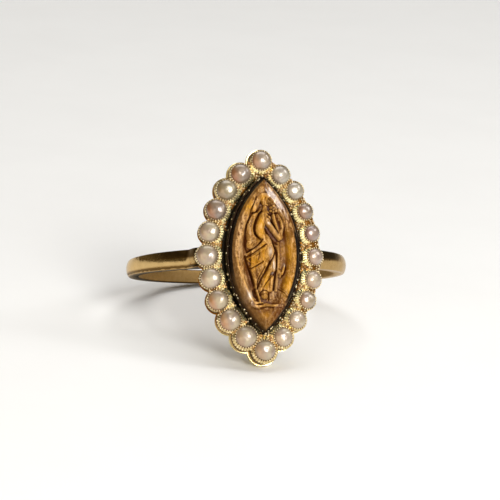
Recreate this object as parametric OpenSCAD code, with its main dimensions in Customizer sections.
// Navette cluster ring: a carved stone in a border of half pearls, on a plain tapered hoop.
// The ring lies on its side: the head's lower tip and the lower edge of the hoop's back touch the ground,
// and the head's face looks forward (-Y) and up. Units are millimetres.

/* [Hoop] */
// Radius of the finger hole
finger_r = 8.5; // [7.5:0.1:9.5]
// Thickness of the hoop at the middle of its width
hoop_thick = 1.1; // [0.9:0.1:1.4]
// Radius of the hoop's rounded outside, across its width
hoop_crown_r = 1.3; // [1.2:0.1:1.5]
// Width of the hoop under the head
hoop_front_w = 1.66; // [1.4:0.02:1.9]
// Width of the hoop at the back of the finger
hoop_back_w = 1.16; // [1.0:0.02:1.3]

/* [Head] */
// Distance from the finger axis to the middle of the pearls at the head's centre line
pearl_plane = 11.0; // [10.8:0.1:11.3]
// Radius to which the head is bent across the finger, at the pearls' middle
bend_r = 16.2; // [15:0.2:20]
// Half width of the leaf-shaped line through the pearls' centres
path_half_w = 4.58; // [4.4:0.02:4.8]
// Half length of the line through the pearls' centres
path_half_l = 7.9; // [7.8:0.02:8.2]
// Depth of the head's gold from the pearls' middle to its back
head_deep = 1.6; // [1.4:0.1:1.8]
// Height of the cup rims above the pearls' middle
rim_rise = 0.12; // [0.05:0.01:0.2]
// Distance from the pearls' centre line to the border's own edge, between the scallops
border_reach = 0.52; // [0.4:0.02:0.6]
// How far the foot ledge stands out past the border
ledge_out = 0.12; // [0.08:0.01:0.15]
// Height of the foot ledge
ledge_h = 0.45; // [0.3:0.05:0.5]
// Width of the worn flat at the ledge's lower tip, on which the head rests
foot_flat_w = 0.9; // [0.6:0.1:1.0]
// Depth of the hollow in the head's back
hollow_deep = 0.55; // [0.4:0.05:0.6]
// How far the edge of the hollow lies inside the line of the pearls
hollow_inset = 0.35; // [0.3:0.05:0.6]

/* [Stone and collet] */
// Half width of the opening in the border
well_half_w = 3.38; // [3.3:0.02:3.42]
// Distance from each side's arc centre to the opening's long axis
well_side = 4.87; // [4.85:0.01:5.0]
// Half width of the stone at its girdle
girdle_half_w = 2.97; // [2.9:0.01:3.0]
// Half width to which the stone's sides lean in
face_half_w = 2.80; // [2.7:0.01:2.85]
// Distance from each side's arc centre to the long axis, on the stone and its collet
side_offset = 5.4; // [5.2:0.1:5.8]
// Thickness of the collet's wall
collet_wall = 0.16; // [0.14:0.01:0.18]
// Height of the collet's edge above the pearls' middle
collet_rise = 0.35; // [0.2:0.05:0.5]
// Height of the stone's face above the pearls' middle
stone_rise = 1.25; // [1.1:0.05:1.4]
// Thickness of the stone
stone_thick = 1.85; // [1.6:0.05:1.9]
// Width of the bevel round the stone's face
bevel_w = 0.54; // [0.4:0.02:0.6]
// Height of the bevel
bevel_h = 0.28; // [0.2:0.01:0.3]
// Width of the ridge between the bevel and the sunk field
ridge_w = 0.08; // [0.05:0.01:0.12]
// Width of the slope from the ridge down to the field
slope_w = 0.46; // [0.4:0.02:0.6]
// Depth of the sunk field
field_deep = 0.56; // [0.4:0.02:0.6]

/* [Pearls] */
// One row for each hand-set pearl, clockwise from the top one: its diameter, its slip along the line
// in steps, its push out of the line, and the width of the gold rim outside it
pearl_rows = [
    [1.60, 0, 0, 0.14], [1.56, 0.06, 0, 0.14], [1.48, 0, 0.06, 0.16], [1.38, 0, -0.04, 0.13],
    [1.38, 0, -0.05, 0.08], [1.42, 0.04, 0, 0.06], [1.46, 0.05, 0, 0.08], [1.46, 0, 0, 0.15],
    [1.50, 0, 0, 0.22], [1.58, 0, 0.05, 0.24], [1.72, 0, 0, 0.30], [1.78, 0, 0, 0.30],
    [1.78, 0, 0, 0.24], [1.70, 0, 0, 0.16], [1.70, 0, -0.03, 0.12], [1.82, 0, 0.03, 0.10],
    [1.70, -0.04, 0.03, 0.10], [1.72, -0.04, 0.05, 0.13], [1.70, 0, 0.13, 0.20], [1.66, 0.08, 0.14, 0.16]];
// Depth of each pearl below its middle, as a share of its radius
pearl_under = 0.5; // [0.3:0.05:0.6]
// Gap between a stone or pearl and the gold round it
seat_gap = 0.02; // [0.01:0.01:0.04]

/* [Hidden] */
$fn = 96;

pearl_count = len(pearl_rows);
hoop_r = finger_r + hoop_thick;
crown_centre_r = hoop_r - hoop_crown_r;
half_count = pearl_count / 2;
// The line through the pearls is two arcs that meet at the tips.
path_r = (sq(path_half_l) + sq(path_half_w)) / (2 * path_half_w);
path_offset = path_r - path_half_w;
path_half_angle = asin(path_half_l / path_r);
// The head is bent about a line along the finger, this far behind the finger axis.
bend_back = bend_r - pearl_plane;
rim_r = bend_r + rim_rise;
back_r = bend_r - head_deep;
// Heights over the finger axis, measured outward through the head's centre
stone_top = pearl_plane + stone_rise;
stone_base = stone_top - stone_thick;
collet_top = pearl_plane + collet_rise;
collet_in_w = girdle_half_w + seat_gap;
collet_out_w = collet_in_w + collet_wall;
well_floor = stone_base - seat_gap;
girdle_top = collet_top + 0.15;
// Step between the stone's upright girdle and its leaning side
girdle_step = 0.04;
ridge_half_w = face_half_w - bevel_w;
open_half_w = ridge_half_w - ridge_w;
field_half_w = open_half_w - slope_w;
bevel_lean = bevel_w / bevel_h;
slope_lean = slope_w / field_deep;
relief_h = field_deep * 0.8;
// Anything that reaches clear of the head
past = 3;
// How far two joined shapes run into each other
weld = 0.1;
shoulder_w = hoop_front_w - weld;

// The two points that touch the ground, as [behind the finger axis, along it]
back_foot = [crown_centre_r + sqrt(sq(hoop_crown_r) - sq(hoop_back_w / 2)), -hoop_back_w / 2];
tip_lobe_r = lobe_r(half_count) + ledge_out;
tip_reach = path_half_l + sqrt(sq(tip_lobe_r) - sq(foot_flat_w / 2));
tip_foot = [head_deep - pearl_plane, -tip_reach];
lie_tilt = atan((back_foot[1] - tip_foot[1]) / (back_foot[0] - tip_foot[0]));
lie_lift = back_foot[0] * sin(lie_tilt) - back_foot[1] * cos(lie_tilt);
// The lying ring reaches from its lowest pearl to the hoop's back, and the origin is midway.
front_reach = pearl_plane * cos(lie_tilt) + path_half_l * sin(lie_tilt) + pearl_d(half_count) / 2;
back_reach = crown_centre_r * cos(lie_tilt) + hoop_crown_r;
lie_shift = (front_reach - back_reach) / 2;

function sq(a) = a * a;
function pearl_name(i) = str("pearl_", i < 9 ? "0" : "", i + 1);
function pearl_d(i) = pearl_rows[i][0];
function pearl_slip(i) = pearl_rows[i][1];
function pearl_arc_r(i) = path_r + pearl_rows[i][2];
function lobe_r(i) = pearl_d(i) / 2 + pearl_rows[i][3];
// Place of pearl i on its arc, in nearly equal steps: the first half runs down the right side.
function on_right(i) = i <= half_count;
function arc_step(i) = (on_right(i) ? i : pearl_count - i) + pearl_slip(i);
function arc_angle(i) = path_half_angle * (1 - 2 * arc_step(i) / half_count);
function pearl_across(i) = (on_right(i) ? 1 : -1) * (pearl_arc_r(i) * cos(arc_angle(i)) - path_offset);
function pearl_along(i) = pearl_arc_r(i) * sin(arc_angle(i));

// Head frame: X across the finger, Y along it, Z outward. The ring lies down afterwards.
module lying() {
    translate([0, lie_shift, lie_lift]) rotate([-lie_tilt, 0, 0]) children();
}
module head_up() {
    rotate([90, 0, 0]) children();
}

// A leaf shape of two arcs whose centres stand side_c to either side of the long axis.
module leaf(half_w, side_c) {
    intersection() {
        translate([-side_c, 0]) circle(r = side_c + half_w);
        translate([side_c, 0]) circle(r = side_c + half_w);
    }
}
// One side of a leaf block, as a tapered drum.
module leaf_drum(side, low_w, top_w, side_c, low_z, top_z) {
    translate([side * side_c, 0, low_z])
        cylinder(r1 = side_c + low_w, r2 = side_c + top_w, h = top_z - low_z);
}
// A leaf-shaped block whose sides lean in evenly towards the top.
module leaf_block(low_w, top_w, side_c, low_z, top_z) {
    intersection() {
        leaf_drum(-1, low_w, top_w, side_c, low_z, top_z);
        leaf_drum(1, low_w, top_w, side_c, low_z, top_z);
    }
}
// Round bar along the finger that follows the head's bend.
module bend_bar(r) {
    translate([0, 0, -bend_back]) rotate([90, 0, 0])
        cylinder(r = r, h = 2 * (path_half_l + past), center = true, $fn = 200);
}
// Places children at pearl i with Z along the bent head's own outward direction.
module at_pearl(i) {
    translate([0, pearl_along(i), -bend_back])
        rotate([0, asin(pearl_across(i) / bend_r), 0])
            translate([0, 0, bend_r]) children();
}

// Scalloped outline as a block: the leaf edge plus a round lobe for each pearl.
module scalloped(extra, low_r, top_r) {
    intersection() {
        union() {
            translate([0, 0, back_r - bend_back - past])
                linear_extrude(2 * past + head_deep)
                    leaf(path_half_w + border_reach + extra, path_offset);
            for (i = [0:pearl_count - 1]) {
                at_pearl(i) translate([0, 0, -head_deep - past / 2])
                    cylinder(r = lobe_r(i) + extra, h = head_deep + past, $fn = 48);
            }
        }
        difference() {
            bend_bar(top_r);
            bend_bar(low_r);
        }
    }
}

module pearl_seats() {
    for (i = [0:pearl_count - 1]) {
        at_pearl(i) translate([0, 0, -pearl_under * pearl_d(i) / 2 - seat_gap])
            cylinder(r = pearl_d(i) / 2 + seat_gap, h = past, $fn = 48);
    }
}

// The ledge round the back, worn flat at its lower tip.
module foot_ledge() {
    difference() {
        scalloped(ledge_out, back_r, back_r + ledge_h);
        translate([-past / 2, -tip_reach - past, 0]) cube([past, past, pearl_plane]);
    }
}

// The scooped back of the head.
module back_hollow() {
    intersection() {
        linear_extrude(pearl_plane) leaf(path_half_w - hollow_inset, path_offset);
        bend_bar(back_r + hollow_deep);
    }
}

module hoop() {
    difference() {
        intersection() {
            rotate_extrude($fn = 200) intersection() {
                translate([crown_centre_r, 0]) circle(r = hoop_crown_r);
                translate([finger_r - weld, -hoop_front_w]) square(2 * hoop_front_w);
            }
            rotate([90, 0, 90]) linear_extrude(4 * hoop_r, center = true) polygon([
                [-hoop_r, -hoop_front_w / 2], [hoop_r, -hoop_back_w / 2],
                [hoop_r, hoop_back_w / 2], [-hoop_r, hoop_front_w / 2]]);
        }
        cylinder(r = finger_r, h = 4 * hoop_front_w, center = true, $fn = 200);
    }
}

// Fills the narrow space between the round hoop and the flatter back of the head.
module shoulders() {
    difference() {
        intersection() {
            translate([-path_half_w, -shoulder_w / 2, finger_r / 2])
                cube([2 * path_half_w, shoulder_w, finger_r]);
            bend_bar(back_r + hollow_deep + weld);
        }
        rotate([90, 0, 0]) cylinder(r = finger_r + hoop_thick / 2, h = 4 * past, center = true, $fn = 200);
    }
}

module gold_mount() {
    color("goldenrod") lying() union() {
        hoop();
        head_up() {
            shoulders();
            difference() {
                union() {
                    difference() {
                        scalloped(0, back_r, rim_r);
                        translate([0, 0, well_floor]) linear_extrude(past) leaf(well_half_w, well_side);
                        pearl_seats();
                    }
                    foot_ledge();
                    translate([0, 0, well_floor - weld])
                        linear_extrude(collet_top - well_floor + weld) leaf(collet_out_w, side_offset);
                }
                translate([0, 0, well_floor]) linear_extrude(past) leaf(collet_in_w, side_offset);
                back_hollow();
            }
        }
    }
}

module carved_stone() {
    color("peru") lying() head_up() {
        difference() {
            union() {
                translate([0, 0, stone_base])
                    linear_extrude(girdle_top - stone_base) leaf(girdle_half_w, side_offset);
                intersection() {
                    leaf_block(girdle_half_w - girdle_step, face_half_w, side_offset, girdle_top - weld,
                        stone_top + weld);
                    leaf_block(ridge_half_w + bevel_lean * stone_thick, ridge_half_w, side_offset,
                        stone_base, stone_top);
                }
            }
            leaf_block(field_half_w, open_half_w + slope_lean * weld, side_offset,
                stone_top - field_deep, stone_top + weld);
        }
        figure();
    }
}

// The standing draped figure, a plain stepped relief on the field.
module figure() {
    translate([0, 0, stone_top - field_deep - weld]) linear_extrude(relief_h + weld) {
        polygon([
            [-0.95, 3.3], [-1.45, 2.2], [-1.5, 0.2], [-1.1, -2.0], [-0.85, -3.2], [-0.7, -4.2], [-0.4, -4.2],
            [-0.2, -3.3], [0.65, -3.1], [0.8, -1.2], [0.85, 0.3], [1.3, 1.3], [1.35, 2.2], [0.6, 3.9],
            [-0.5, 4.1]]);
        translate([0, 4.4]) circle(r = 0.55, $fn = 48);
        translate([-1, -4.4]) square([2, 0.25]);
    }
}

module pearl(i) {
    under = pearl_under * pearl_d(i) / 2;
    color("antiquewhite") lying() head_up() at_pearl(i) intersection() {
        sphere(d = pearl_d(i), $fn = 48);
        translate([-pearl_d(i), -pearl_d(i), -under]) cube(2 * pearl_d(i));
    }
}

gold_mount();
carved_stone();
for (i = [0:pearl_count - 1]) {
    pearl(i);
}
